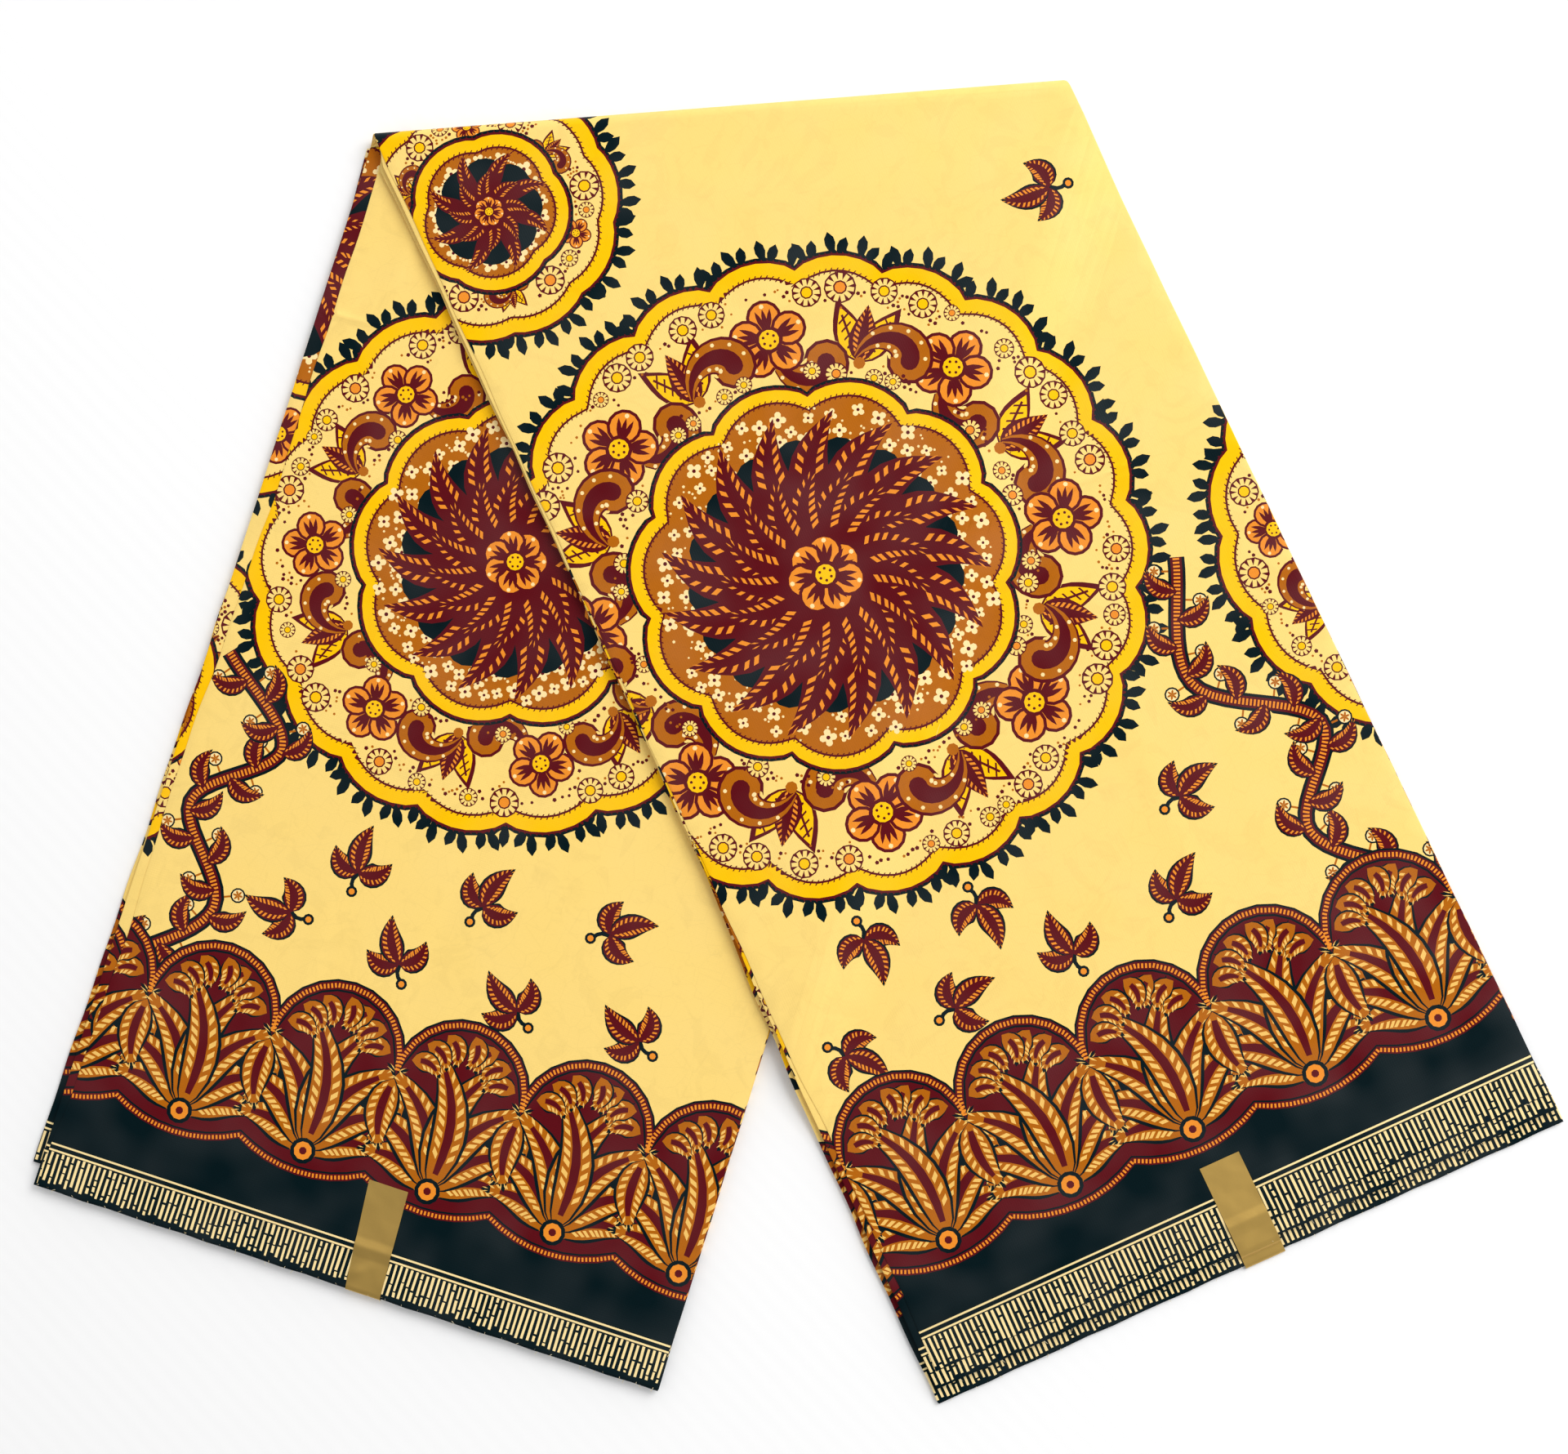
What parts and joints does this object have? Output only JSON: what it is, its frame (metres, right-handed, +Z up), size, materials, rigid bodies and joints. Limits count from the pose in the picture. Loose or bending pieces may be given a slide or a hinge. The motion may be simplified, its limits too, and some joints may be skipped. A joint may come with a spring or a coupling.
{
  "type": "folded wax print cotton cloth",
  "caption": "Folded strip of wax print cotton cloth lying flat, turned over once on a slant into two spread legs with striped selvedge hems and blank foil seals.",
  "frame": {"origin": "centre of the bounding box on the table under the cloth", "axes": "+X to the right across both hems, +Y from the hems towards the fold, +Z up from the table"},
  "size_m": [0.7048, 0.6114, 0.0117],
  "materials": {
    "printed_cotton": "starched wax print cotton with a slight sheen",
    "printed_cotton_edges": "folded and selvedge edges of the same printed cotton",
    "gold_foil": "satin gold foil paper"
  },
  "bodies": {
    "root": {"lower_leg_laps": "printed_cotton_edges", "lower_leg_sheet": "printed_cotton", "fold_bend_laps": "printed_cotton_edges", "fold_bend_sheet": "printed_cotton", "upper_leg_laps": "printed_cotton_edges", "upper_leg_sheet": "printed_cotton", "lower_hem_seal": "gold_foil", "upper_hem_seal": "gold_foil"}
  },
  "joints": []
}
